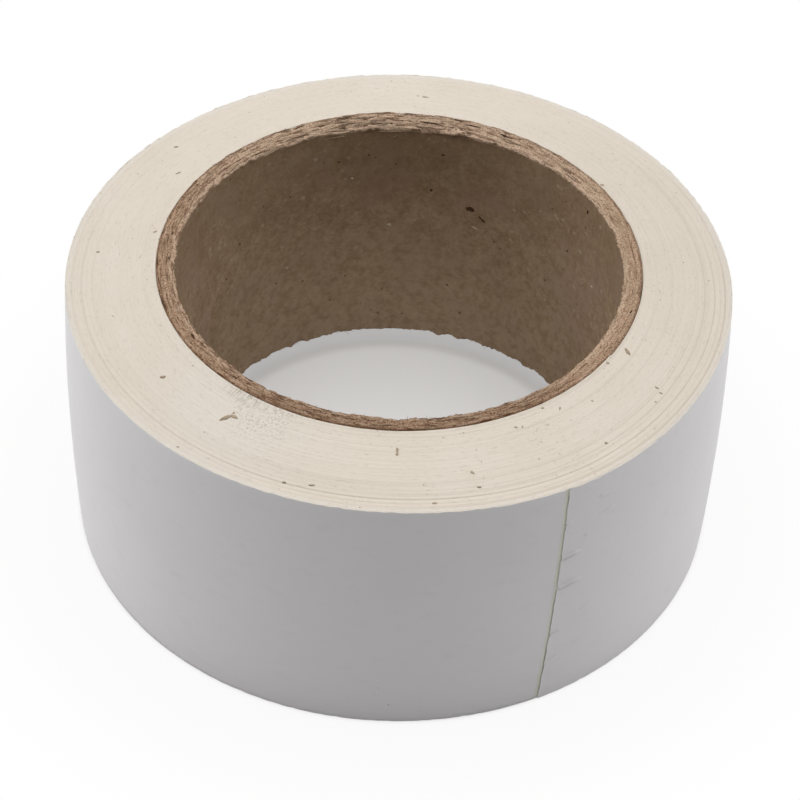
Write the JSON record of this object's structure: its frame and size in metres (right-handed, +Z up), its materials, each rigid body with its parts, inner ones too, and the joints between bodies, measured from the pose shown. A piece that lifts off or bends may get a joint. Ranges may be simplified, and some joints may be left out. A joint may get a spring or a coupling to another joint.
{
  "type": "roll of adhesive marking tape",
  "caption": "Roll of plain white adhesive marking tape wound on a paperboard core, lying on its end face, with a free end that peels back.",
  "frame": {"origin": "centre of the lower end face, on the surface that the roll lies on", "axes": "+Z up along the roll's axis, -Y towards the viewer, the free end at the front right"},
  "size_m": [0.1135, 0.1133, 0.0526],
  "materials": {
    "core_paper": "raw brown paperboard",
    "tape_edge": "cream slit film edges",
    "tape_film": "smooth white film"
  },
  "bodies": {
    "roll": {"core_inner_ply": "core_paper", "core_middle_ply": "core_paper", "core_outer_ply": "core_paper", "tape_pack": "tape_edge", "last_turn": "tape_film"},
    "end_root": {"tape_end_root": "tape_film"},
    "end_middle": {"tape_end_middle": "tape_film"},
    "end_tip": {"tape_end_tip": "tape_film"}
  },
  "joints": [
    {"name": "peel_root", "type": "hinge", "parent": "roll", "child": "end_root", "pos_m": [0.04836, -0.03003, 0.0253], "axis": [0, 0, 1], "range_deg": [0, 45]},
    {"name": "peel_middle", "type": "hinge", "parent": "end_root", "child": "end_middle", "pos_m": [0.04237, -0.03801, 0.0253], "axis": [0, 0, 1], "range_deg": [0, 45]},
    {"name": "peel_tip", "type": "hinge", "parent": "end_middle", "child": "end_tip", "pos_m": [0.03509, -0.04483, 0.0253], "axis": [0, 0, 1], "range_deg": [0, 45]}
  ],
  "couplings": [
    {"joint": "peel_middle", "follows": "peel_root", "ratio": 1},
    {"joint": "peel_tip", "follows": "peel_root", "ratio": 1}
  ]
}
